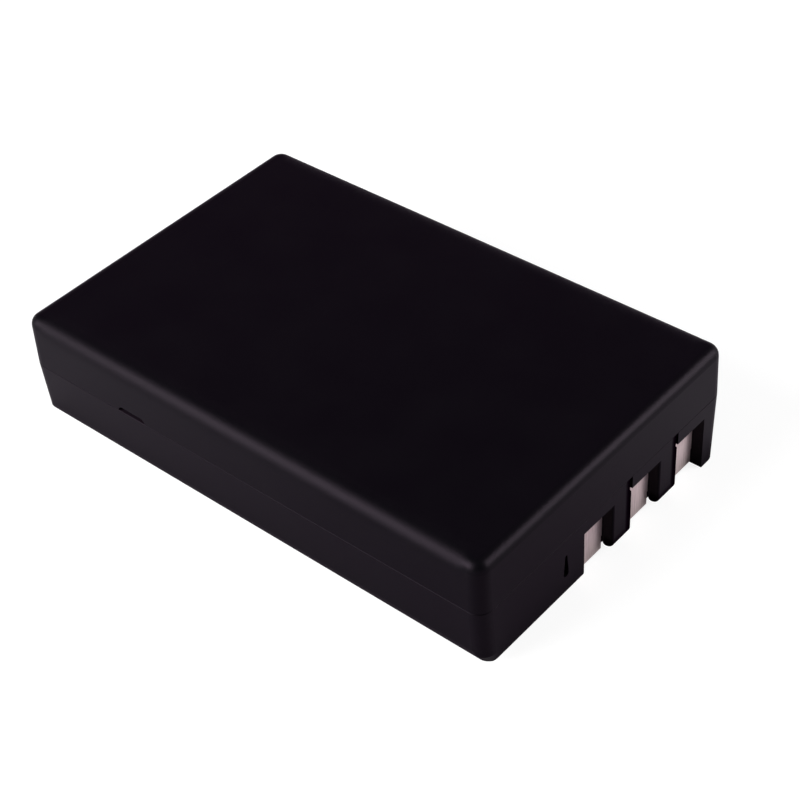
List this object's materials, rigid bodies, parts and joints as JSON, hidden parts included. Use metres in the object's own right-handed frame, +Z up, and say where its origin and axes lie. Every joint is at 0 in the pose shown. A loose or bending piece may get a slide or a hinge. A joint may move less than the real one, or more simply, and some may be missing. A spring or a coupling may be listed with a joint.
{
  "type": "camera battery",
  "caption": "Flat black rechargeable camera battery: moulded case shells with rounded edges, and plated contacts set back in open notches at one end.",
  "frame": {"origin": "middle of the underside, level with the surface that it lies on", "axes": "+X along the length towards the contact end, +Y across towards the side that the contacts are nearer to, +Z up through the plain wide face"},
  "size_m": [0.055, 0.0356, 0.013],
  "materials": {
    "case_plastic": "satin black, fine mould texture",
    "contact_plate": "plated, fine rolling lines",
    "nickel_strip": "bare nickel",
    "cell_can": "drawn aluminium",
    "cell_adhesive": "pale adhesive pad",
    "foam": "dark closed-cell foam",
    "insulating_paper": "green insulating paper",
    "insulating_tape": "amber film",
    "board_laminate": "green solder resist",
    "chip_body": "black moulded",
    "chip_ceramic": "fired ceramic"
  },
  "bodies": {
    "root": {"lower_case": "case_plastic", "upper_case": "case_plastic", "negative_contact": "contact_plate", "sensor_contact": "contact_plate", "positive_contact": "contact_plate", "series_strip": "nickel_strip", "positive_strip": "nickel_strip", "negative_strip": "nickel_strip", "cutoff_lead": "nickel_strip", "lower_cell": "cell_can", "upper_cell": "cell_can", "cell_pad": "cell_adhesive", "top_foam": "foam", "back_foam": "foam", "front_insulator": "insulating_paper", "back_insulator": "insulating_paper", "side_tape": "insulating_tape", "circuit_board": "board_laminate", "protection_chip": "chip_body", "switch_transistors": "chip_body", "thermal_cutoff": "chip_body", "thermistor": "chip_ceramic", "surface_fuse": "chip_ceramic", "chip_resistors": "chip_ceramic", "chip_capacitors": "chip_ceramic"}
  },
  "joints": []
}
